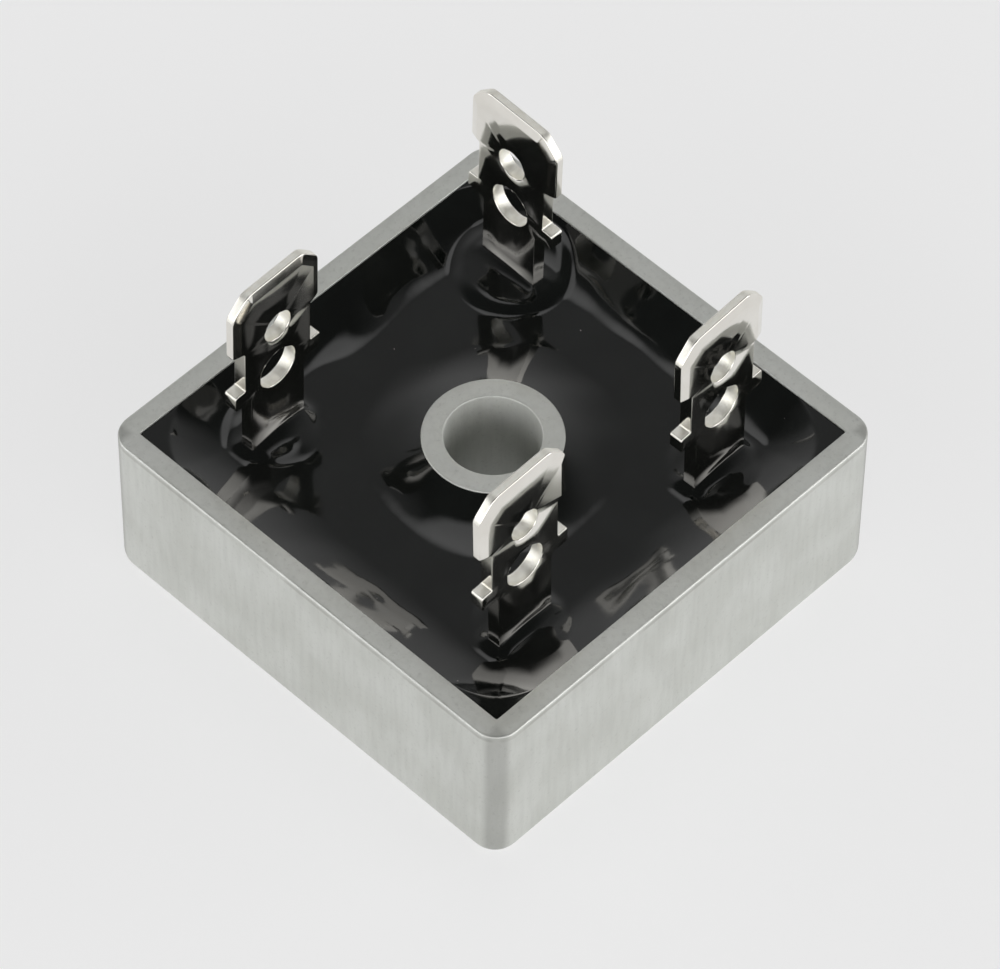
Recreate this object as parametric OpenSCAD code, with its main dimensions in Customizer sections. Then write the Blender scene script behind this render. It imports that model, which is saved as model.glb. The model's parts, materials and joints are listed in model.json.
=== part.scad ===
// Single-phase bridge rectifier with tab terminals. Four diode dice sit on copper plates in a
// square cast cup, under an epoxy fill, and a hollow post takes the mounting screw.
// The origin is the centre of the mounting hole on the base face, and the cup opens towards +Z.

/* [Case] */
// Outside width of the square case
case_side = 28.6; // [28:0.1:34]
// Height of the rim above the base
case_height = 10.7; // [10:0.1:14]
// Thickness of the four walls
wall_thickness = 1.25; // [0.8:0.05:1.6]
// Thickness of the floor
floor_thickness = 2; // [1.2:0.1:2.6]
// Radius of the four upright corners
corner_radius = 1.5; // [1.2:0.1:3]
// Radius of the edges round the base
base_edge_radius = 1.1; // [0.4:0.1:1.4]
// Radius of the outer edge of the rim
rim_edge_radius = 0.15; // [0.05:0.05:0.4]

/* [Mounting post] */
// Bore of the post, which clears an M5 screw
hole_diameter = 5.2; // [4.2:0.1:5.8]
// Width of the ring at the top of the post
post_wall = 1.2; // [0.8:0.05:1.4]
// How much wider the foot of the post is than its top, on each side
post_taper = 0.25; // [0:0.05:0.5]
// How far the top of the post lies below the rim
post_drop = 0.25; // [0:0.05:0.6]

/* [Epoxy fill] */
// How far the level part of the epoxy lies below the rim
epoxy_drop = 1.3; // [0.8:0.1:2]
// How far below its edge the epoxy stops on the walls and on the post
epoxy_edge_gap = 0.12; // [0.05:0.01:0.3]
// Width of the epoxy's curve along the walls
wall_climb_spread = 2.6; // [1.2:0.1:3.4]
// Width of the epoxy's curve round the post
post_climb_spread = 1.5; // [0.8:0.1:2.4]
// How far the epoxy climbs the terminals
stem_climb = 0.5; // [0.2:0.1:0.8]
// How far the epoxy climbs the positive terminal
positive_climb = 0.9; // [0.2:0.1:1.1]
// Width of the epoxy's curve round a terminal
stem_climb_spread = 1.6; // [0.8:0.1:2]

/* [Tab terminals] */
// Width of the tab
tab_width = 6.3; // [5.4:0.1:6.6]
// Thickness of the strip that the terminals are stamped from
tab_thickness = 0.8; // [0.6:0.05:1]
// How far the tip stands above the rim
tab_rise = 11.6; // [10:0.1:13]
// Length from the tip to the side notches
tab_length = 4.15; // [3.6:0.05:5]
// Height of the side notches
notch_height = 3.05; // [2.4:0.05:3.5]
// Depth of the side notches
notch_depth = 0.73; // [0.4:0.01:0.9]
// Height of the ears below the notches
ear_height = 1.1; // [0.6:0.1:1.6]
// Width of the stem below the ears
stem_width = 3.9; // [3.3:0.1:4.2]
// Size of the clipped corners at the tip
tip_clip = 1.1; // [0.6:0.1:1.6]
// Height of the lead-in bevels at the tip
lead_in_height = 0.65; // [0.3:0.05:1]
// Depth of the lead-in bevels on each face
lead_in_depth = 0.19; // [0.05:0.01:0.25]
// Diameter of the latching hole
latch_hole_diameter = 1.9; // [1.4:0.1:2.2]
// Distance from the tip to the centre of the latching hole
latch_hole_drop = 3.95; // [3.5:0.05:4.2]
// Diameter of the wiring hole
wire_hole_diameter = 2.6; // [1.8:0.1:2.8]
// Distance from the tip to the centre of the wiring hole
wire_hole_drop = 7.3; // [6.8:0.1:7.8]
// Inside radius of the bend above the foot
bend_radius = 0.4; // [0.2:0.1:0.8]
// Length of the soldered foot
foot_length = 1.5; // [1:0.1:1.6]

/* [Terminal places] */
// Distance between the negative and the second AC terminal, along X
tab_spacing_x = 14.5; // [13.8:0.1:15.2]
// Distance between the negative and the first AC terminal, along Y
tab_spacing_y = 18.1; // [17.6:0.1:18.4]
// Place of the positive terminal along X
positive_x = 9.45; // [9:0.05:10]
// Place of the positive terminal along Y
positive_y = 7.8; // [7.4:0.1:8.6]

/* [Circuit] */
// Clearance between the insulator and the case walls
insulator_gap = 0.85; // [0.4:0.05:1.2]
// Thickness of the insulator
insulator_thickness = 0.6; // [0.4:0.1:0.8]
// How far the insulator reaches past the plates
insulator_margin = 0.6; // [0.2:0.1:0.8]
// Clearance between the post and the insulator
insulator_hole_gap = 0.2; // [0.1:0.05:0.4]
// Clearance between the post and the plates
post_gap = 0.75; // [0.5:0.05:1]
// Gap between one plate and the next
plate_gap = 1.4; // [1:0.1:1.8]
// Thickness of the plates on the insulator
plate_thickness = 1; // [0.6:0.1:1.2]
// Side of a diode die
die_side = 4.2; // [3:0.1:4.6]
// Thickness of a diode die
die_thickness = 0.3; // [0.2:0.05:0.4]
// Distance from a die to the edge of its plate
die_margin = 0.2; // [0.1:0.05:0.4]
// Thickness of every solder layer
solder_thickness = 0.1; // [0.05:0.01:0.15]
// Side of the solder pad on top of a die
pad_side = 2; // [1.4:0.1:2.6]
// Thickness of the straps and of the negative plate
strap_thickness = 0.8; // [0.5:0.1:1]
// How far a strap or the negative plate reaches past a solder pad
strap_margin = 0.1; // [0:0.05:0.2]
// Length of the joggle in a strap
joggle_length = 0.6; // [0.4:0.1:1]
// Length of the soldered foot of a strap
strap_foot = 2; // [1.4:0.1:2.4]
// How much smaller the negative plate is than the plates below it, on each side
negative_inset = 0.2; // [0:0.1:0.4]

/* [Hidden] */
$fn = 64;

// Colours of the materials
cast_aluminium = [0.71, 0.72, 0.69];
tinned_brass = [0.85, 0.84, 0.78];
black_epoxy = [0.07, 0.07, 0.08];
copper = [0.78, 0.46, 0.28];
solder = [0.62, 0.63, 0.65];
silicon = [0.25, 0.27, 0.32];
ceramic = [0.93, 0.93, 0.9];

// How far a cut runs past the face that it opens
through = 1;

// Case and post
cavity_half = case_side / 2 - wall_thickness;
post_top = case_height - post_drop;
post_top_radius = hole_diameter / 2 + post_wall;
post_foot_radius = post_top_radius + post_taper;

// Epoxy: its level, the flat strips that make up each curve, and how far a round curve starts
// inside the post or outside a stem's corners
epoxy_level = case_height - epoxy_drop;
climb_strips = 6;
climb_margin = 0.1;

// Heights of the layers, from the floor up
plate_bottom = floor_thickness + insulator_thickness;
plate_top = plate_bottom + plate_thickness;
die_bottom = plate_top + solder_thickness;
die_top = die_bottom + die_thickness;
strap_bottom = die_top + solder_thickness;
strap_top = strap_bottom + strap_thickness;

// The plates lie in a square lane round the post, between these distances from its axis
insulator_half = cavity_half - insulator_gap;
lane_in = post_foot_radius + post_gap;
lane_out = insulator_half - insulator_margin;
positive_end = plate_gap - lane_in;

// The dice: 1 and 2 on the positive plate, 3 and 4 on an AC plate each
die_row = lane_in + die_margin + die_side / 2;
die_on_positive = positive_end + die_margin + die_side / 2;
die_1_at = [die_on_positive, die_row];
die_2_at = [die_row, die_on_positive];
die_3_at = [-die_row, 0];
die_4_at = [0, -die_row];
strap_reach = pad_side / 2 + strap_margin;

// A strap runs from its die to a foot just past the edge of the AC plate
strap_foot_start = die_on_positive + lane_in + die_margin;

// Heights on a terminal
tip_z = case_height + tab_rise;
notch_top_z = tip_z - tab_length;
ear_top_z = notch_top_z - notch_height;
shoulder_z = ear_top_z - ear_height;

// Each terminal: its place, and its turn about Z (its foot points to +Y before the turn)
negative_at = [-tab_spacing_x / 2, -tab_spacing_y / 2];
ac_1_at = [-tab_spacing_x / 2, tab_spacing_y / 2];
ac_2_at = [tab_spacing_x / 2, -tab_spacing_y / 2];
positive_at = [positive_x, positive_y];
negative_turn = 180;
ac_1_turn = 0;
ac_2_turn = 180;
positive_turn = 90;

// ---- Case ----

// What a rounded corner of radius r takes off a square one, with the arc's centre at the origin
module corner_waste(r) {
    difference() {
        square(r + through);
        circle(r);
    }
}

// Upright section through the case, from an axis to the outer face at this distance
module case_section(reach) {
    difference() {
        square([reach, case_height]);
        translate([reach - base_edge_radius, base_edge_radius])
            rotate(-90) corner_waste(base_edge_radius);
        translate([reach - rim_edge_radius, case_height - rim_edge_radius])
            corner_waste(rim_edge_radius);
    }
}

// The solid block of the case: two crossed runs, and a turned quarter at each upright corner
module case_block() {
    run = case_side - 2 * corner_radius;
    for (turn = [0 : 90 : 270]) {
        rotate([90, 0, turn]) linear_extrude(run, center = true) case_section(case_side / 2);
        rotate([0, 0, turn]) translate([run / 2, run / 2, 0])
            rotate_extrude(angle = 90) case_section(corner_radius);
    }
}

// The square inside of the cup, from the floor to above the rim
module cavity() {
    translate([-cavity_half, -cavity_half, floor_thickness])
        cube([2 * cavity_half, 2 * cavity_half, case_height - floor_thickness + through]);
}

// The tapered post, without its bore
module post() {
    translate([0, 0, floor_thickness])
        cylinder(h = post_top - floor_thickness, r1 = post_foot_radius, r2 = post_top_radius);
}

module case() {
    color(cast_aluminium) difference() {
        union() {
            difference() {
                case_block();
                cavity();
            }
            post();
        }
        translate([0, 0, -through]) cylinder(h = post_top + 2 * through, d = hole_diameter);
    }
}

// ---- Plates, straps and insulator ----

// A flat layer with corners at a and b
module layer(a, b, z, thickness) {
    translate([a[0], a[1], z]) cube([b[0] - a[0], b[1] - a[1], thickness]);
}

// A square layer of this side, centred on a place
module square_layer(at, side, z, thickness) {
    layer(at - [side, side] / 2, at + [side, side] / 2, z, thickness);
}

// Draws its children as they are, or swapped over the line where X equals Y
module swapped(swap) {
    if (swap) mirror([1, -1, 0]) children();
    else children();
}

module base_insulator() {
    color(ceramic) difference() {
        square_layer([0, 0], 2 * insulator_half, floor_thickness, insulator_thickness);
        translate([0, 0, floor_thickness - through])
            cylinder(h = insulator_thickness + 2 * through, r = post_foot_radius + insulator_hole_gap);
    }
}

module positive_plate() {
    color(copper) for (swap = [false, true])
        swapped(swap)
            layer([positive_end, lane_in], [lane_out, lane_out], plate_bottom, plate_thickness);
}

// AC plate 1 lies along -X, and AC plate 2 is swapped to lie along -Y
module ac_plate(swap) {
    color(copper) swapped(swap)
        layer([-lane_out, -die_side / 2 - die_margin], [-lane_in, lane_out], plate_bottom, plate_thickness);
}

module negative_plate() {
    near = negative_inset - lane_in;
    far = negative_inset - lane_out;
    color(copper) for (swap = [false, true])
        swapped(swap) layer([far, far], [near, strap_reach], strap_bottom, strap_thickness);
}

// Side view of a strap: X runs from the die's centre to the foot, and Y is height
module strap_section() {
    joggle_start = strap_foot_start - joggle_length;
    foot_end = strap_foot_start + strap_foot;
    foot_top = die_bottom + strap_thickness;
    polygon([
        [-strap_reach, strap_bottom],
        [joggle_start, strap_bottom],
        [strap_foot_start, die_bottom],
        [foot_end, die_bottom],
        [foot_end, foot_top],
        [strap_foot_start, foot_top],
        [joggle_start, strap_top],
        [-strap_reach, strap_top]
    ]);
}

// Strap 1 joins the top of die 1 to AC plate 1, and strap 2 is swapped
module ac_strap(swap) {
    color(copper) swapped(swap)
        translate([die_1_at[0], die_1_at[1], 0]) rotate([90, 0, 180])
            linear_extrude(2 * strap_reach, center = true) strap_section();
}

// Each solder layer can reach further up, into the metal that it holds, where the epoxy is cut
module strap_solder(swap, reach_up = 0) {
    foot_x = die_1_at[0] - strap_foot_start;
    color(solder) swapped(swap)
        layer([foot_x - strap_foot, die_row - strap_reach], [foot_x, die_row + strap_reach],
              plate_top, solder_thickness + reach_up);
}

// ---- Dice ----

module die(at) {
    color(silicon) square_layer(at, die_side, die_bottom, die_thickness);
}

module cathode_solder(at) {
    color(solder) square_layer(at, die_side, plate_top, solder_thickness);
}

module anode_solder(at, reach_up = 0) {
    color(solder) square_layer(at, pad_side, die_top, solder_thickness + reach_up);
}

// ---- Terminals, upright over the origin, with the width along X ----

// Outline of the blade above its shoulders
module blade_outline() {
    half = tab_width / 2;
    neck = half - notch_depth;
    right_edge = [
        [half, shoulder_z],
        [half, ear_top_z],
        [neck, ear_top_z],
        [neck, notch_top_z],
        [half, notch_top_z],
        [half, tip_z - tip_clip],
        [half - tip_clip, tip_z]
    ];
    last = len(right_edge) - 1;
    left_edge = [for (i = [last : -1 : 0]) [-right_edge[i][0], right_edge[i][1]]];
    polygon(concat(right_edge, left_edge));
}

module blade() {
    rotate([90, 0, 0]) linear_extrude(tab_thickness, center = true) blade_outline();
}

// Side view of the stem, its bend and its foot: X runs out along the foot, and Y is height
module root_section(plate_z) {
    foot_z = plate_z + solder_thickness;
    bend_x = tab_thickness / 2 + bend_radius;
    outer_radius = bend_radius + tab_thickness;
    bend_z = foot_z + outer_radius;
    translate([-tab_thickness / 2, bend_z]) square([tab_thickness, ear_top_z - bend_z]);
    translate([bend_x, foot_z]) square([foot_length, tab_thickness]);
    translate([bend_x, bend_z]) intersection() {
        difference() {
            circle(outer_radius);
            circle(bend_radius);
        }
        translate([-outer_radius, -outer_radius]) square(outer_radius);
    }
}

// The stem, up into the blade as far as the ears, and the foot over a plate whose top is at plate_z
module root(plate_z) {
    rotate([90, 0, 90]) linear_extrude(stem_width, center = true) root_section(plate_z);
}

// A hole through the blade, this far below the tip
module blade_hole(drop, diameter) {
    translate([0, tab_thickness / 2 + through, tip_z - drop])
        rotate([90, 0, 0]) cylinder(h = tab_thickness + 2 * through, d = diameter);
}

// The wedge that a lead-in bevel takes off the +Y face below an edge along X at the origin
module lead_in_waste() {
    slope = [-lead_in_depth, lead_in_height];
    low = [tab_thickness / 2, -lead_in_height] - slope / 4;
    high = [tab_thickness / 2 - lead_in_depth, 0] + slope / 4;
    rotate([90, 0, 90]) linear_extrude(tab_width, center = true)
        polygon([low, [low[0], high[1]], high]);
}

// The lead-in bevels along the tip and the clipped corners, on both faces
module lead_in_wastes() {
    for (face = [0, 1]) mirror([0, face, 0]) {
        translate([0, 0, tip_z]) lead_in_waste();
        for (side = [-1, 1])
            translate([side * (tab_width - tip_clip) / 2, 0, tip_z - tip_clip / 2])
                rotate([0, side * 45, 0]) lead_in_waste();
    }
}

// Puts an upright terminal, or a piece of one, at its place and turn
module placed(at, turn) {
    translate([at[0], at[1], 0]) rotate([0, 0, turn]) children();
}

module terminal(at, turn, plate_z) {
    color(tinned_brass) placed(at, turn) difference() {
        union() {
            blade();
            root(plate_z);
        }
        blade_hole(latch_hole_drop, latch_hole_diameter);
        blade_hole(wire_hole_drop, wire_hole_diameter);
        lead_in_wastes();
    }
}

// The solder between a terminal's foot and the plate below it
module tab_solder(at, turn, plate_z, reach_up = 0) {
    foot_y = tab_thickness / 2 + bend_radius;
    color(solder) placed(at, turn)
        layer([-stem_width / 2, foot_y], [stem_width / 2, foot_y + foot_length],
              plate_z, solder_thickness + reach_up);
}

// ---- Epoxy ----

// Section of the epoxy where it climbs a face: full height as far as start, then down a curve
module climb_section(start, rise, spread) {
    curve = [
        for (i = [0 : climb_strips])
            [start + spread * i / climb_strips, rise * pow(1 - i / climb_strips, 2)]
    ];
    polygon(concat([[0, 0], [0, rise]], curve));
}

// Epoxy climbing the four walls
module wall_climb() {
    rise = epoxy_drop - epoxy_edge_gap;
    for (turn = [0 : 90 : 270])
        rotate([0, 0, turn]) translate([-cavity_half - through, 0, epoxy_level])
            rotate([90, 0, 0]) linear_extrude(2 * cavity_half, center = true)
                climb_section(through, rise, wall_climb_spread);
}

// Epoxy climbing something upright that this radius encloses
module round_climb(at, radius, rise, spread) {
    translate([at[0], at[1], epoxy_level])
        rotate_extrude() climb_section(radius, rise, spread);
}

// A terminal's root and its solder, as the epoxy is cut for them
module potted_root(at, turn, plate_z) {
    placed(at, turn) root(plate_z);
    tab_solder(at, turn, plate_z, tab_thickness / 2);
}

// Everything that stands in the epoxy
module potted_parts() {
    post();
    base_insulator();
    positive_plate();
    negative_plate();
    for (swap = [false, true]) {
        ac_plate(swap);
        ac_strap(swap);
        strap_solder(swap, strap_thickness / 2);
    }
    for (at = [die_1_at, die_2_at, die_3_at, die_4_at]) {
        die(at);
        cathode_solder(at);
        anode_solder(at, strap_thickness / 2);
    }
    potted_root(negative_at, negative_turn, strap_top);
    potted_root(ac_1_at, ac_1_turn, plate_top);
    potted_root(ac_2_at, ac_2_turn, plate_top);
    potted_root(positive_at, positive_turn, plate_top);
}

module potting() {
    stem_radius = norm([stem_width, tab_thickness]) / 2 + climb_margin;
    post_radius = post_top_radius - climb_margin;
    post_rise = post_top - epoxy_level - epoxy_edge_gap;
    color(black_epoxy) difference() {
        intersection() {
            cavity();
            union() {
                translate([-case_side / 2, -case_side / 2, 0])
                    cube([case_side, case_side, epoxy_level]);
                wall_climb();
                round_climb([0, 0], post_radius, post_rise, post_climb_spread);
                for (at = [negative_at, ac_1_at, ac_2_at])
                    round_climb(at, stem_radius, stem_climb, stem_climb_spread);
                round_climb(positive_at, stem_radius, positive_climb, stem_climb_spread);
            }
        }
        potted_parts();
    }
}

case();
potting();
base_insulator();
positive_plate();
ac_plate(false);  // ac_plate_1
ac_plate(true);  // ac_plate_2
negative_plate();
ac_strap(false);  // ac_strap_1
ac_strap(true);  // ac_strap_2
strap_solder(false);  // strap_solder_1
strap_solder(true);  // strap_solder_2
die(die_1_at);  // die_1
die(die_2_at);  // die_2
die(die_3_at);  // die_3
die(die_4_at);  // die_4
cathode_solder(die_1_at);  // cathode_solder_1
cathode_solder(die_2_at);  // cathode_solder_2
cathode_solder(die_3_at);  // cathode_solder_3
cathode_solder(die_4_at);  // cathode_solder_4
anode_solder(die_1_at);  // anode_solder_1
anode_solder(die_2_at);  // anode_solder_2
anode_solder(die_3_at);  // anode_solder_3
anode_solder(die_4_at);  // anode_solder_4
terminal(negative_at, negative_turn, strap_top);  // negative_terminal
terminal(ac_1_at, ac_1_turn, plate_top);  // ac_terminal_1
terminal(ac_2_at, ac_2_turn, plate_top);  // ac_terminal_2
terminal(positive_at, positive_turn, plate_top);  // positive_terminal
tab_solder(negative_at, negative_turn, strap_top);  // negative_tab_solder
tab_solder(ac_1_at, ac_1_turn, plate_top);  // ac_tab_solder_1
tab_solder(ac_2_at, ac_2_turn, plate_top);  // ac_tab_solder_2
tab_solder(positive_at, positive_turn, plate_top);  // positive_tab_solder
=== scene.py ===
"""Looks of a metal-cased bridge rectifier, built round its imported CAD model."""

import json
import math

import bmesh
import bpy
import numpy as np
from mathutils import Matrix, Vector
from mathutils.geometry import delaunay_2d_cdt


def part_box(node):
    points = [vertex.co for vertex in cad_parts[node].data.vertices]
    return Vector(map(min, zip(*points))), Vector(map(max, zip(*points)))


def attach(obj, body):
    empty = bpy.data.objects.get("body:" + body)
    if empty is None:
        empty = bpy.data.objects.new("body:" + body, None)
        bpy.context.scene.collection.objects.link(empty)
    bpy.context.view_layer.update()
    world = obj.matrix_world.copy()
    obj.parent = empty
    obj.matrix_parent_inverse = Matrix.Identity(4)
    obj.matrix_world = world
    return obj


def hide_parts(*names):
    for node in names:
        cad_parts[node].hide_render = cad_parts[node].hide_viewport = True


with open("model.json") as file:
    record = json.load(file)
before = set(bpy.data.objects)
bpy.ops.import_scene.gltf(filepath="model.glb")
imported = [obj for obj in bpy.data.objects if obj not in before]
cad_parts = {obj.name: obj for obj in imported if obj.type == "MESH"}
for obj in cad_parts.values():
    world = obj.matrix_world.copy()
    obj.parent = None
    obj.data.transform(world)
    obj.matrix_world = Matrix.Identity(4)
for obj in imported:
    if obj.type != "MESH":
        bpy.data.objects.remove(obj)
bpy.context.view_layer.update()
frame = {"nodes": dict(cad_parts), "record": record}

MM = 0.001


def box_mm(node):
    """Lowest and highest corner of a CAD node, in mm."""
    low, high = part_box(node)
    return np.array(low) / MM, np.array(high) / MM


# ---- Sizes in mm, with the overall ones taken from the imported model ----

CASE_HALF = box_mm("case")[1][0]
RIM_Z = box_mm("case")[1][2]
CAVITY_HALF = box_mm("potting")[1][0]
POTTING_BOTTOM = box_mm("potting")[0][2]
CORNER_RADIUS = 1.5
CAVITY_CORNER = 0.12
BASE_EDGE = 1.1
RIM_EDGE = 0.15
RIM_INNER_EDGE = 0.06
FLOOR_Z = 2.0
BORE_RADIUS = 2.6
POST_TOP_Z = 10.45
POST_TOP_RADIUS = 3.8
POST_FOOT_RADIUS = 4.05
POST_EDGE = 0.1

EPOXY_LEVEL = 9.4
WALL_CLIMB, WALL_SPREAD = 1.15, 3.3
POST_CLIMB, POST_SPREAD = 0.95, 3.3
STEM_CLIMB, STEM_SPREAD = 0.2, 1.0

BLADE_HALF = 3.15
STRIP_HALF = 0.4
TAB_LENGTH = 4.15
NOTCH_HEIGHT = 3.05
NOTCH_DEPTH = 0.73
EAR_HEIGHT = 1.1
STEM_HALF = 1.95
TIP_CLIP = 1.1
COIN_DEPTH = 0.17
COIN_TIP = 0.6
COIN_SIDE = 0.5
EDGE_ROUND = 0.05
LATCH_HOLE = (3.95, 0.95)
WIRE_HOLE = (7.3, 1.3)
BEND_MIDDLE = 0.8
FOOT_LENGTH = 1.5

# Each terminal: its mount, how far it is turned and leant in degrees, and the epoxy mound round
# it: rise, radius, and how domed it is, from 0 for a flat top with a steep edge
TERMINALS = {
    "negative_terminal": ("negative_tab", 0.7, 0.1, 1.0, (0.3, 2.7, 0.8)),
    "ac_terminal_1": ("ac_tab_1", 1.6, 0.6, 0.5, (0.36, 2.6, 0.8)),
    "ac_terminal_2": ("ac_tab_2", 1.8, -0.5, 1.4, (0.3, 2.6, 0.8)),
    "positive_terminal": ("positive_tab", -1.4, 0.2, -1.0, (0.42, 3.5, 0.35)),
}


# ---- Material nodes ----

class Nodes:
    """Adds and links shader nodes in one node tree."""

    def __init__(self, tree):
        self.tree = tree

    def put(self, node, socket, value):
        target = node.inputs[int(socket)] if socket.isdigit() else node.inputs[socket]
        if isinstance(value, bpy.types.NodeSocket):
            self.tree.links.new(value, target)
        else:
            target.default_value = value

    def add(self, kind, settings=None, **inputs):
        node = self.tree.nodes.new(kind)
        for key, value in (settings or {}).items():
            setattr(node, key, value)
        for key, value in inputs.items():
            self.put(node, key.replace("_", " "), value)
        return node

    def place(self, stretch=(1, 1, 1)):
        """Position on the object in metres, stretched along each axis."""
        point = self.add("ShaderNodeTexCoord").outputs["Object"]
        if stretch == (1, 1, 1):
            return point
        node = self.add("ShaderNodeVectorMath", {"operation": "MULTIPLY"})
        self.put(node, "0", point)
        self.put(node, "1", stretch)
        return node.outputs["Vector"]

    def dot(self, a, b):
        node = self.add("ShaderNodeVectorMath", {"operation": "DOT_PRODUCT"})
        self.put(node, "0", a)
        self.put(node, "1", b)
        return node.outputs["Value"]

    def noise(self, size, detail=3.0, roughness=0.5, stretch=(1, 1, 1)):
        """Noise whose features are about this size in mm."""
        scale = 1 / (size * MM)
        node = self.add("ShaderNodeTexNoise", Scale=scale, Detail=detail, Roughness=roughness)
        self.put(node, "Vector", self.place(stretch))
        return node.outputs["Fac"]

    def fit(self, value, low, high, to_low, to_high):
        node = self.add("ShaderNodeMapRange", {"interpolation_type": "SMOOTHSTEP"}, Value=value)
        node.inputs["From Min"].default_value = low
        node.inputs["From Max"].default_value = high
        node.inputs["To Min"].default_value = to_low
        node.inputs["To Max"].default_value = to_high
        return node.outputs["Result"]

    def maths(self, operation, a, b=0.0):
        node = self.add("ShaderNodeMath", {"operation": operation})
        self.put(node, "0", a)
        self.put(node, "1", b)
        return node.outputs["Value"]

    def mix_value(self, factor, a, b):
        node = self.add("ShaderNodeMix", {"data_type": "FLOAT"})
        self.put(node, "0", factor)
        self.put(node, "2", a)
        self.put(node, "3", b)
        return node.outputs[0]

    def mix(self, factor, a, b):
        node = self.add("ShaderNodeMix", {"data_type": "RGBA"})
        self.put(node, "0", factor)
        self.put(node, "6", a)
        self.put(node, "7", b)
        return node.outputs[2]

    def bump(self, height, depth, normal=None):
        """A normal for this height map, whose full range is this deep in mm."""
        node = self.add("ShaderNodeBump", Height=height)
        node.inputs["Distance"].default_value = depth * MM
        if normal:
            self.put(node, "Normal", normal)
        return node.outputs["Normal"]


def new_material(name):
    material = bpy.data.materials.new(name)
    material.use_nodes = True
    return material, Nodes(material.node_tree)


def finish_material(material, **sockets):
    shader = material.node_tree.nodes["Principled BSDF"]
    for key, value in sockets.items():
        Nodes(material.node_tree).put(shader, key.replace("_", " "), value)
    return material


# ---- Camera and room ----

def make_camera():
    """A long lens that looks down on the front corner, slightly rolled."""
    azimuth, elevation, roll = math.radians(-46.2256), math.radians(52.3654), math.radians(0.8035)
    aim, distance = Vector((2.4507, 1.795, 2.321)) * MM, 359.48 * MM
    back = Vector((
        math.sin(azimuth) * math.cos(elevation),
        -math.cos(azimuth) * math.cos(elevation),
        math.sin(elevation),
    ))
    data = bpy.data.cameras.new("camera")
    data.sensor_width = 36
    data.lens = 241.87
    data.clip_start, data.clip_end = 0.01, 10
    camera = bpy.data.objects.new("camera", data)
    turn = (-back).to_track_quat("-Z", "Y").to_matrix().to_4x4()
    place = Matrix.Translation(aim + back * distance)
    camera.matrix_world = place @ turn @ Matrix.Rotation(roll, 4, "Z")
    bpy.context.collection.objects.link(camera)
    bpy.context.scene.camera = camera


def make_world():
    """A studio of soft light: bright low walls, a patch high at the back, and a dimmer far wall."""
    world = bpy.data.worlds.new("studio")
    world.use_nodes = True
    tree = world.node_tree
    n = Nodes(tree)
    direction = n.add("ShaderNodeTexCoord").outputs["Generated"]
    up = n.add("ShaderNodeSeparateXYZ", Vector=direction).outputs["Z"]
    far = n.dot(direction, (0.7071, 0.7071, 0))
    right = n.dot(direction, (0.7071, -0.7071, 0))
    patch = n.dot(direction, (0.22, 0.22, 0.95))
    low_light = n.mix_value(n.fit(up, 0.62, 0.4, 0, 1), 0.08, n.fit(right, -0.6, 0.6, 2.1, 2.7))
    sides = n.mix_value(n.fit(far, 0.2, 0.5, 0, 1), low_light, n.fit(up, 0.9, 0.3, 0.34, 0.6))
    lit = n.maths("ADD", sides, n.fit(patch, 0.955, 0.985, 0, 1.2))
    background = tree.nodes["Background"]
    background.inputs["Color"].default_value = (1, 1, 1, 1)
    n.put(background, "Strength", lit)
    bpy.context.scene.world = world


def make_floor():
    """A pale table, partly lit by its own glow where it is seen or mirrored, so shadows stay faint."""
    half = 1.5
    corners = [(-half, -half, 0), (half, -half, 0), (half, half, 0), (-half, half, 0)]
    mesh = bpy.data.meshes.new("floor")
    mesh.from_pydata(corners, [], [(0, 1, 2, 3)])
    floor = bpy.data.objects.new("floor", mesh)
    bpy.context.collection.objects.link(floor)
    material, n = new_material("floor")
    shader = material.node_tree.nodes["Principled BSDF"]
    finish_material(
        material,
        Base_Color=(0.88, 0.88, 0.885, 1),
        Roughness=0.9,
        Specular_IOR_Level=0.0,
    )
    glow = n.add("ShaderNodeEmission", Color=(0.985, 0.985, 0.985, 1), Strength=1.0)
    path = n.add("ShaderNodeLightPath")
    seen = n.maths("MAXIMUM", path.outputs["Is Camera Ray"], path.outputs["Is Glossy Ray"])
    blend = n.add("ShaderNodeMixShader")
    n.put(blend, "0", n.maths("MULTIPLY", seen, 0.6))
    n.put(blend, "1", shader.outputs["BSDF"])
    n.put(blend, "2", glow.outputs["Emission"])
    n.put(material.node_tree.nodes["Material Output"], "Surface", blend.outputs["Shader"])
    mesh.materials.append(material)


# ---- Materials ----

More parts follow.
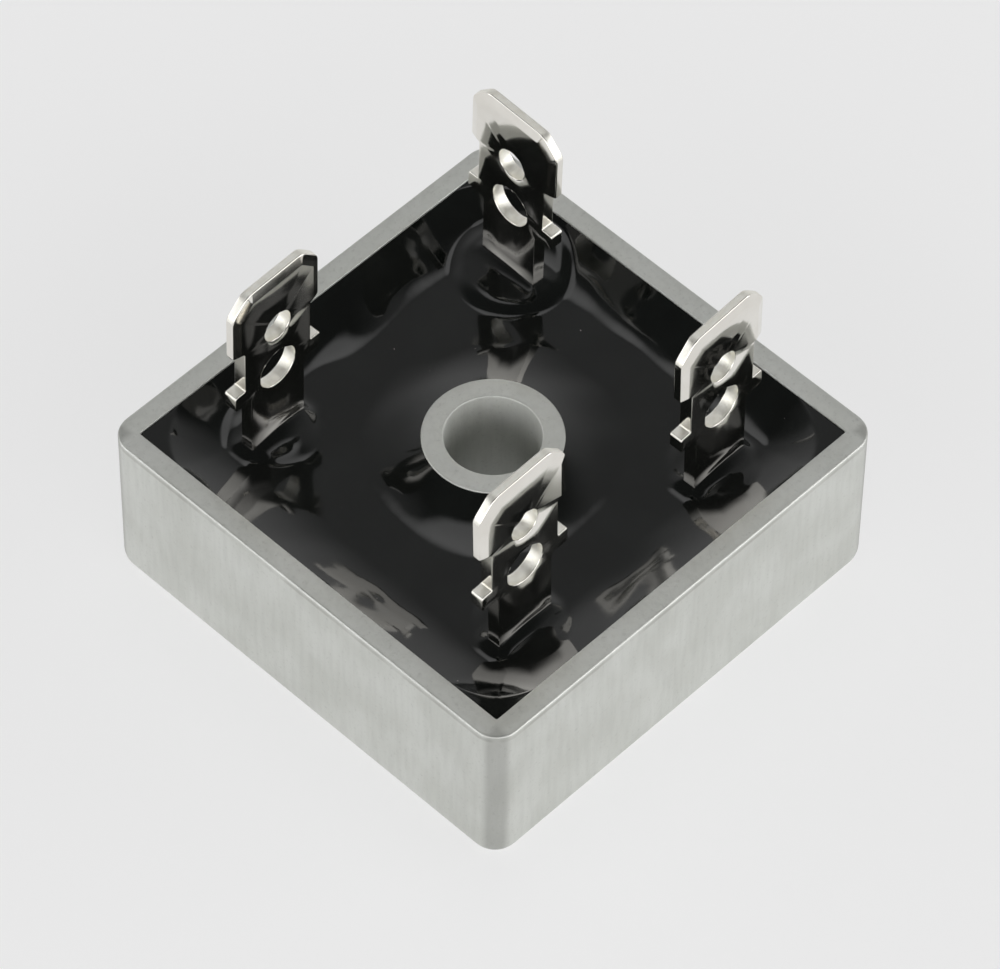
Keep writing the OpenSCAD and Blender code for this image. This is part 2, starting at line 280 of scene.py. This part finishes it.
def cast_aluminium():
    """Fine-grained cast metal: cloudy tone, a sandy bump, painted shade on the upright corners, a
    duller bore.
    """
    material, n = new_material("cast_aluminium")
    clouds = n.noise(3.5, detail=4)
    streaks = n.noise(0.35, detail=2, stretch=(1, 1, 0.12))
    grain = n.noise(0.22, detail=3, roughness=0.6)
    tone = n.mix(n.fit(clouds, 0.3, 0.7, 0, 1), (0.60, 0.61, 0.575, 1), (0.66, 0.67, 0.64, 1))
    tone = n.mix(n.fit(streaks, 0.35, 0.75, 0, 0.10), tone, (0.3, 0.3, 0.28, 1))
    tone = n.mix(n.fit(grain, 0.45, 0.25, 0, 0.22), tone, (0.3, 0.3, 0.28, 1))
    point = n.add("ShaderNodeSeparateXYZ", Vector=n.place())
    x, y = n.maths("ABSOLUTE", point.outputs["X"]), n.maths("ABSOLUTE", point.outputs["Y"])
    # Painted shade: the four upright corners are darkened toward (0.25, 0.25, 0.235), standing in for
    # the dimmer surroundings they reflect
    corner = n.fit(n.maths("MINIMUM", x, y), 13.1 * MM, 13.6 * MM, 0, 0.42)
    tone = n.mix(corner, tone, (0.25, 0.25, 0.235, 1))
    height = n.maths("SUBTRACT", point.outputs["Z"], 10.38 * MM)
    line = n.fit(n.maths("ABSOLUTE", height), 0.05 * MM, 0.2 * MM, 1, 0)
    outside = n.fit(n.maths("MAXIMUM", x, y), 13.9 * MM, 14.1 * MM, 0, 1)
    broken = n.fit(n.noise(2.2, detail=3), 0.35, 0.6, 0.05, 0.3)
    rim_line = n.maths("MULTIPLY", n.maths("MULTIPLY", line, outside), broken)
    tone = n.mix(rim_line, tone, (0.2, 0.19, 0.17, 1))
    flat = n.add("ShaderNodeVectorMath", {"operation": "MULTIPLY"})
    n.put(flat, "0", n.place())
    n.put(flat, "1", (1, 1, 0))
    length = n.add("ShaderNodeVectorMath", {"operation": "LENGTH"}, Vector=flat.outputs["Vector"])
    bore = n.fit(length.outputs["Value"], 2.66 * MM, 2.62 * MM, 0, 1)
    return finish_material(
        material,
        Base_Color=tone,
        Metallic=n.mix_value(bore, 0.9, 0.35),
        Roughness=n.fit(clouds, 0.25, 0.75, 0.46, 0.56),
        Normal=n.bump(grain, 0.012, n.bump(streaks, 0.008)),
    )


def black_epoxy():
    """Glossy cured epoxy with a faint haze and a few specks of dust."""
    material, n = new_material("black_epoxy")
    haze = n.noise(3, detail=4)
    dust = n.noise(0.3, detail=1)
    clear, hazy = (0.0034, 0.0042, 0.0036, 1), (0.0052, 0.0064, 0.0056, 1)
    tone = n.mix(n.fit(haze, 0.35, 0.7, 0, 1), clear, hazy)
    tone = n.mix(n.fit(dust, 0.82, 0.86, 0, 1), tone, (0.25, 0.22, 0.22, 1))
    return finish_material(
        material,
        Base_Color=tone,
        Roughness=n.fit(haze, 0.3, 0.7, 0.04, 0.09),
        IOR=1.5,
        Normal=n.bump(n.noise(1.6, detail=2), 0.006),
    )


def tin_face():
    """Bright rolled strip: nearly a mirror, with a slight wave."""
    material, n = new_material("tin_face")
    patches = n.noise(2, detail=3)
    tone = n.mix(n.fit(patches, 0.3, 0.7, 0, 1), (0.80, 0.775, 0.72, 1), (0.86, 0.84, 0.79, 1))
    return finish_material(
        material,
        Base_Color=tone,
        Metallic=1.0,
        Roughness=n.fit(patches, 0.3, 0.7, 0.08, 0.12),
        Normal=n.bump(n.noise(2.5, detail=2), 0.01),
    )


def tin_cut():
    """The sheared edges of the strip, which are rougher."""
    material, n = new_material("tin_cut")
    patches = n.noise(0.4, detail=3)
    tone = n.mix(n.fit(patches, 0.3, 0.7, 0, 1), (0.84, 0.82, 0.74, 1), (0.93, 0.92, 0.86, 1))
    return finish_material(
        material,
        Base_Color=tone,
        Metallic=0.8,
        Roughness=n.fit(patches, 0.3, 0.7, 0.38, 0.5),
        Normal=n.bump(patches, 0.01),
    )


def plain_material(name, color, metallic, roughness):
    material, n = new_material(name)
    patches = n.noise(1.2, detail=3)
    darker = [c * 0.85 for c in color[:3]] + [1]
    return finish_material(
        material,
        Base_Color=n.mix(n.fit(patches, 0.3, 0.7, 0, 1), darker, color),
        Metallic=metallic,
        Roughness=n.fit(patches, 0.3, 0.7, roughness - 0.05, roughness + 0.08),
        Normal=n.bump(patches, 0.01),
    )


def dress(material, *nodes):
    """Gives CAD nodes this material."""
    for name in nodes:
        mesh = frame["nodes"][name].data
        mesh.materials.clear()
        mesh.materials.append(material)


# ---- Meshes ----

FLAT, CUT, ROUND = 0, 1, 2
FLAT_SHARP = 3


def make_piece(name, points, faces, kinds, materials, node, sharp=40):
    """A smooth-shaded mesh piece, from points in mm, that stands for a CAD node.

    Each face's kind picks its material. Edges over `sharp` degrees stay sharp, and in a piece of
    several materials so do those between two flat faces that meet at more than a few degrees.
    """
    mesh = bpy.data.meshes.new(name)
    mesh.from_pydata((np.asarray(points) * MM).tolist(), [], faces)
    for material in materials:
        mesh.materials.append(material)
    mesh.polygons.foreach_set("material_index", kinds)
    edit = bmesh.new()
    edit.from_mesh(mesh)
    bmesh.ops.recalc_face_normals(edit, faces=edit.faces)
    for face in edit.faces:
        face.smooth = True
    for edge in edit.edges:
        all_flat = all(face.material_index == FLAT for face in edge.link_faces)
        limit = FLAT_SHARP if len(materials) > 1 and all_flat else sharp
        edge.smooth = edge.calc_face_angle(0) < math.radians(limit)
    edit.to_mesh(mesh)
    edit.free()
    piece = bpy.data.objects.new(name, mesh)
    bpy.context.collection.objects.link(piece)
    weighted = piece.modifiers.new("weighted_normals", "WEIGHTED_NORMAL")
    weighted.keep_sharp = True
    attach(piece, "root")
    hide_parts(node)
    return piece


SIDE_STEPS = 120
CORNER_STEPS = 14


def square_ring(half, corner, z):
    """Points round a square with rounded corners, the same number for every size."""
    straight = half - corner
    along = np.linspace(-straight, straight, SIDE_STEPS, endpoint=False)
    angle = np.linspace(0, math.pi / 2, CORNER_STEPS, endpoint=False)
    side = np.stack([np.full(SIDE_STEPS, half), along], -1)
    arc = straight + corner * np.stack([np.cos(angle), np.sin(angle)], -1)
    quarter = np.concatenate([side, arc])
    turned = [quarter]
    for _ in range(3):
        quarter = np.stack([-quarter[:, 1], quarter[:, 0]], -1)
        turned.append(quarter)
    flat = np.concatenate(turned)
    return np.column_stack([flat, np.full(len(flat), z)])


GUIDE = square_ring(CASE_HALF, CORNER_RADIUS, 0)[:, :2]
GUIDE = GUIDE / np.linalg.norm(GUIDE, axis=1)[:, None]


def circle_ring(radius, z):
    """Points round a circle, one for each point of a square ring."""
    return np.column_stack([GUIDE * radius, np.full(len(GUIDE), z)])


def ring_faces(count, stations):
    """Faces of a closed skin through rings of points, with the last ring joined to the first."""
    here = np.arange(count * stations).reshape(count, stations)
    there = np.roll(here, -1, 0)
    corners = [here, np.roll(here, -1, 1), np.roll(there, -1, 1), there]
    return np.stack(corners, -1).reshape(-1, 4).tolist()


def make_from_rings(name, rings, material, node):
    rows = np.array(rings)
    faces = ring_faces(*rows.shape[:2])
    return make_piece(name, rows.reshape(-1, 3), faces, [0] * len(faces), [material], node)


# ---- Case ----

def outer_ring(inset, z):
    return square_ring(CASE_HALF - inset, CORNER_RADIUS - inset, z)


def make_case():
    """One skin: out along the base, up the walls, over the rim, down, and up and down the post."""
    rings = [circle_ring(BORE_RADIUS + 0.1, 0)]
    for step in np.linspace(0, math.pi / 2, 12):
        rings.append(outer_ring(BASE_EDGE * (1 - math.sin(step)), BASE_EDGE * (1 - math.cos(step))))
    for z in np.linspace(BASE_EDGE, RIM_Z - RIM_EDGE, 10)[1:]:
        rings.append(outer_ring(0, z))
    for step in np.linspace(0, math.pi / 2, 6)[1:]:
        drop = RIM_EDGE * (1 - math.sin(step))
        rings.append(outer_ring(RIM_EDGE * (1 - math.cos(step)), RIM_Z - drop))
    for step in np.linspace(math.pi / 2, 0, 4):
        out = RIM_INNER_EDGE * (1 - math.cos(step))
        drop = RIM_INNER_EDGE * (1 - math.sin(step))
        rings.append(square_ring(CAVITY_HALF + out, CAVITY_CORNER, RIM_Z - drop))
    rings.append(square_ring(CAVITY_HALF, CAVITY_CORNER, FLOOR_Z))
    rings.append(circle_ring(POST_FOOT_RADIUS, FLOOR_Z))
    for step in np.linspace(0, math.pi / 2, 5):
        drop = POST_EDGE * (1 - math.sin(step))
        out = POST_EDGE * (1 - math.cos(step))
        rings.append(circle_ring(POST_TOP_RADIUS - out, POST_TOP_Z - drop))
    for step in np.linspace(math.pi / 2, 0, 5):
        drop = POST_EDGE * (1 - math.sin(step))
        out = POST_EDGE * (1 - math.cos(step))
        rings.append(circle_ring(BORE_RADIUS + out, POST_TOP_Z - drop))
    rings.append(circle_ring(BORE_RADIUS, 0.1))
    make_from_rings("case_shell", rings, cast_aluminium(), "case")


# ---- Terminal places ----

def terminal_places():
    """Each terminal's tip in mm, its turn, and its foot's height; unturned, feet point along +Y."""
    mounts = {mount["name"]: mount for mount in frame["record"]["mounts"]}
    places = {}
    for node, (mount, *_) in TERMINALS.items():
        tip = np.array(mounts[mount]["pos_m"]) / MM
        low, high = box_mm(node)
        foot = (low + high)[:2] / 2 - tip[:2]
        places[node] = (tip, math.atan2(foot[1], foot[0]) - math.pi / 2, low[2])
    return places


PLACES = terminal_places()


# ---- Epoxy ----

def climb(distance, rise, spread):
    """How far a liquid that wets a face stands above its level at this distance from the face."""
    return rise * np.clip(1 - distance / spread, 0, 1) ** 1.7


def stem_distance(x, y, node):
    """Distance from these points to the outside of a terminal's stem."""
    tip, turn, _ = PLACES[node]
    dx, dy = x - tip[0], y - tip[1]
    u = dx * math.cos(turn) + dy * math.sin(turn)
    v = dy * math.cos(turn) - dx * math.sin(turn)
    return np.hypot(np.maximum(np.abs(u) - STEM_HALF, 0), np.maximum(np.abs(v) - STRIP_HALF, 0))


def smooth(value):
    value = np.clip(value, 0, 1)
    return value * value * (3 - 2 * value)


def ripples(x, y):
    """A gentle unevenness, from a few fixed waves."""
    source = np.random.default_rng(5)
    total = np.zeros_like(x)
    for _ in range(12):
        angle = source.uniform(0, math.pi)
        length = source.uniform(3, 9)
        phase = source.uniform(0, 6.28)
        along = x * math.cos(angle) + y * math.sin(angle)
        total += length * np.sin(along * 2 * math.pi / length + phase)
    return total / 60


def potting_height(x, y):
    """Height of the epoxy's surface in mm over these points."""
    uneven = ripples(x, y)
    z = EPOXY_LEVEL + 0.02 * uneven
    for distance in (CAVITY_HALF - x, CAVITY_HALF + x, CAVITY_HALF - y, CAVITY_HALF + y):
        z += climb(distance, WALL_CLIMB, WALL_SPREAD * (1 + 0.25 * uneven))
    z += climb(np.hypot(x, y) - POST_TOP_RADIUS, POST_CLIMB, POST_SPREAD * (1 + 0.2 * uneven))
    for node, values in TERMINALS.items():
        rise, radius, dome = values[-1]
        tip = PLACES[node][0]
        share = np.hypot(x - tip[0], y - tip[1]) / (radius * (1 + 0.08 * uneven))
        edge = smooth((1 - share) / 0.3)
        z += rise * (edge * (1 - dome) + dome * np.clip(1 - share**2, 0, 1) ** 1.3)
        z += climb(stem_distance(x, y, node), STEM_CLIMB, STEM_SPREAD)
    return z


def make_potting():
    """The poured block of epoxy: rings from the post out to the walls, then sides and bottom."""
    inner, outer = circle_ring(POST_TOP_RADIUS, 0), square_ring(CAVITY_HALF, CAVITY_CORNER, 0)
    step = np.linspace(0, 1, 131)
    share = step - 0.1 * np.sin(2 * math.pi * step)
    rings = []
    for s in share:
        ring = inner * (1 - s) + outer * s
        ring[:, 2] = np.minimum(potting_height(ring[:, 0], ring[:, 1]), RIM_Z - 0.12)
        rings.append(ring)
    rings.append(outer + (0, 0, POTTING_BOTTOM))
    rings.append(circle_ring(POST_FOOT_RADIUS, POTTING_BOTTOM))
    make_from_rings("potting_surface", rings, black_epoxy(), "potting")


# ---- Terminals ----

CORNER_POINTS = 7
BEND_POINTS = 9


def rounded(corners):
    """Points along a closed outline of (u, w, radius) corners, each corner rounded."""
    points = []
    count = len(corners)
    for i, (u, w, radius) in enumerate(corners):
        here = np.array([u, w])
        if radius == 0:
            points.append(here)
            continue
        before = np.array(corners[i - 1][:2]) - here
        after = np.array(corners[(i + 1) % count][:2]) - here
        before, after = before / np.linalg.norm(before), after / np.linalg.norm(after)
        half_angle = math.acos(np.clip(before @ after, -1, 1)) / 2
        reach = radius / math.tan(half_angle)
        for t in np.linspace(0, 1, CORNER_POINTS):
            a, b = here + before * reach * (1 - t), here + after * reach * t
            points.append(a * (1 - t) + b * t)
    return np.array(points)


def inset(points, distance):
    """The closed outline moved inwards; it runs anticlockwise round the metal."""
    along = np.roll(points, -1, 0) - points
    along = along / np.linalg.norm(along, axis=1)[:, None]
    normal = np.stack([-along[:, 1], along[:, 0]], -1)
    both = normal + np.roll(normal, 1, 0)
    miter = both / np.maximum(np.sum(both * both, 1), 0.5)[:, None] * 2
    return points + miter * distance


def strip_half(points, tip_z):
    """Half the strip's thickness over these points, where its edges are coined."""
    side = BLADE_HALF - np.abs(points[:, 0])
    top = tip_z - points[:, 1]
    clip = (side + top - TIP_CLIP) / math.sqrt(2)
    near = np.minimum(np.minimum(side / COIN_SIDE, top / COIN_TIP), clip / COIN_TIP)
    coined = COIN_DEPTH * np.clip(1 - near, 0, 1)
    return STRIP_HALF - np.where(top < TAB_LENGTH + 0.001, coined, 0)


def bend(points, v, bend_z):
    """The flat blank's points, at this place across its thickness, with the foot bent out."""
    u, w = points[:, 0], points[:, 1]
    run = np.maximum(bend_z - w, 0)
    angle = np.minimum(run / BEND_MIDDLE, math.pi / 2)
    past = np.maximum(run - BEND_MIDDLE * math.pi / 2, 0)
    y = BEND_MIDDLE - (BEND_MIDDLE - v) * np.cos(angle) + past
    z = np.maximum(w, bend_z) - (BEND_MIDDLE - v) * np.sin(angle)
    return np.column_stack([u, y, z])


def terminal_outline(tip_z, bend_z):
    """Right-hand edge of the flat blank from the foot up, then the mirrored left-hand edge."""
    notch_top = tip_z - TAB_LENGTH
    ear_top = notch_top - NOTCH_HEIGHT
    shoulder = ear_top - EAR_HEIGHT
    neck = BLADE_HALF - NOTCH_DEPTH
    bend_length = BEND_MIDDLE * math.pi / 2
    right = [(STEM_HALF, bend_z - bend_length - FOOT_LENGTH, 0.1)]
    right += [(STEM_HALF, w, 0) for w in np.linspace(bend_z - bend_length, bend_z, BEND_POINTS)]
    right += [
        (STEM_HALF, shoulder, 0.25),
        (BLADE_HALF, shoulder, 0.2),
        (BLADE_HALF, ear_top, 0.2),
        (neck, ear_top, 0.1),
        (neck, notch_top, 0.15),
        (BLADE_HALF, notch_top, 0.12),
        (BLADE_HALF, tip_z - TIP_CLIP, 0.9),
        (BLADE_HALF - TIP_CLIP, tip_z, 0.9),
    ]
    left = [(-u, w, radius) for u, w, radius in reversed(right)]
    return rounded(right + left)


def coin_lines(tip_z):
    """Corners of the line where the coined edge meets the flat face."""
    reach = TIP_CLIP + math.sqrt(2) * COIN_TIP
    side, top = BLADE_HALF - COIN_SIDE, tip_z - COIN_TIP
    right = [
        (side, tip_z - TAB_LENGTH + 0.1),
        (side, tip_z - reach + COIN_SIDE),
        (BLADE_HALF - reach + COIN_TIP, top),
    ]
    return right + [(-u, w) for u, w in reversed(right)]


def hole_ring(tip_z, hole, grow=0.0):
    """Points round a hole through the blade, clockwise."""
    drop, radius = hole
    angle = -np.arange(48) / 48 * 2 * math.pi
    return np.stack([np.cos(angle), np.sin(angle)], -1) * (radius + grow) + (0, tip_z - drop)


def in_hole(point, tip_z):
    u, below_tip = point[0], point[1] - tip_z
    return any(np.hypot(u, below_tip + drop) < radius for drop, radius in (LATCH_HOLE, WIRE_HOLE))


def make_terminal(node, materials):
    """A stamped strip with rounded edges, coined tip and sides, two holes, and a bent foot."""
    tip, turn, foot_z = PLACES[node]
    _, yaw, lean_back, lean_side, _ = TERMINALS[node]
    tip_z = tip[2]
    bend_z = foot_z + BEND_MIDDLE + STRIP_HALF
    outline = terminal_outline(tip_z, bend_z)

    def shrunk(number, distance):
        if number == 0:
            return inset(outline, distance)
        return hole_ring(tip_z, (LATCH_HOLE, WIRE_HOLE)[number - 1], distance)

    loops = [shrunk(number, EDGE_ROUND) for number in range(3)]
    extra = np.array(coin_lines(tip_z))
    edges, start = [], 0
    for loop in loops:
        count = len(loop)
        edges += [(start + i, start + (i + 1) % count) for i in range(count)]
        start += count
    edges += [(start + i, start + i + 1) for i in range(len(extra) - 1)]
    bend_first, bend_end = CORNER_POINTS, CORNER_POINTS + BEND_POINTS
    edges += [(i, len(outline) - 1 - i) for i in range(bend_first, bend_end)]
    inputs = [Vector(p) for p in np.concatenate(loops + [extra])]
    found = delaunay_2d_cdt(inputs, edges, [], 1, 1e-5)
    flat_points = np.array([tuple(p) for p in found[0]])
    from_input = {source: new for new, sources in enumerate(found[3]) for source in sources}
    flat_faces = [face for face in found[2] if not in_hole(flat_points[face].mean(0), tip_z)]

    points, faces, kinds = [], [], []

    def add_points(flat_loop, v):
        first = sum(len(p) for p in points)
        points.append(bend(flat_loop, v, bend_z))
        return first

    def add_band(above, below, band_kinds):
        count = len(above)
        for i in range(count):
            j = (i + 1) % count
            faces.append([above[i], below[i], below[j], above[j]])
        kinds.extend(band_kinds)

    rims = []
    for side in (1, -1):
        first = add_points(flat_points, side * strip_half(flat_points, tip_z))
        faces += [[first + i for i in face] for face in flat_faces]
        kinds += [FLAT] * len(flat_faces)
        start = 0
        for number, loop in enumerate(loops):
            count = len(loop)
            above = [first + from_input[start + i] for i in range(count)]
            for step in np.linspace(math.pi / 2, 0, 4)[1:]:
                moved = shrunk(number, EDGE_ROUND * (1 - math.cos(step)))
                half = strip_half(moved, tip_z) - EDGE_ROUND * (1 - math.sin(step))
                begin = add_points(moved, side * half)
                below = list(range(begin, begin + count))
                add_band(above, below, [ROUND] * count)
                above = below
            rims.append(above)
            start += count
    along = np.roll(outline, -1, 0) - outline
    facing_up = along[:, 0] < -0.3 * np.hypot(*along.T)
    add_band(rims[0], rims[3], np.where(facing_up, CUT, ROUND).tolist())
    for number in (1, 2):
        add_band(rims[number], rims[number + 3], [CUT] * len(rims[number]))

    local = np.concatenate(points)
    back = Matrix.Rotation(math.radians(lean_back), 3, "X")
    lean = back @ Matrix.Rotation(math.radians(lean_side), 3, "Y")
    spin = Matrix.Rotation(turn + math.radians(yaw), 3, "Z")
    pivot = np.array([0, 0, EPOXY_LEVEL])
    world = (local - pivot) @ np.array(spin @ lean).T + pivot + (tip[0], tip[1], 0)
    world[:, 2] -= max(world[:, 2].max() - tip_z, 0)
    name = node.replace("terminal", "tab")
    make_piece(name, world, faces, kinds, materials, node, 50)


# ---- Scene ----

make_camera()
make_world()
make_floor()

make_case()
make_potting()
bright_tin = tin_face()
tin = [bright_tin, tin_cut(), bright_tin]
for terminal in TERMINALS:
    make_terminal(terminal, tin)

copper = plain_material("copper", (0.72, 0.36, 0.2, 1), 0.95, 0.35)
dress(copper, "positive_plate", "negative_plate", "ac_plate_1", "ac_plate_2")
dress(copper, "ac_strap_1", "ac_strap_2")
solder = plain_material("solder", (0.5, 0.51, 0.52, 1), 0.9, 0.4)
dress(solder, *[name for name in frame["nodes"] if "solder" in name])
silicon = plain_material("silicon", (0.05, 0.06, 0.09, 1), 0.2, 0.3)
dress(silicon, "die_1", "die_2", "die_3", "die_4")
dress(plain_material("ceramic_white", (0.85, 0.85, 0.82, 1), 0, 0.6), "base_insulator")

bpy.context.scene.view_settings.view_transform = "Standard"
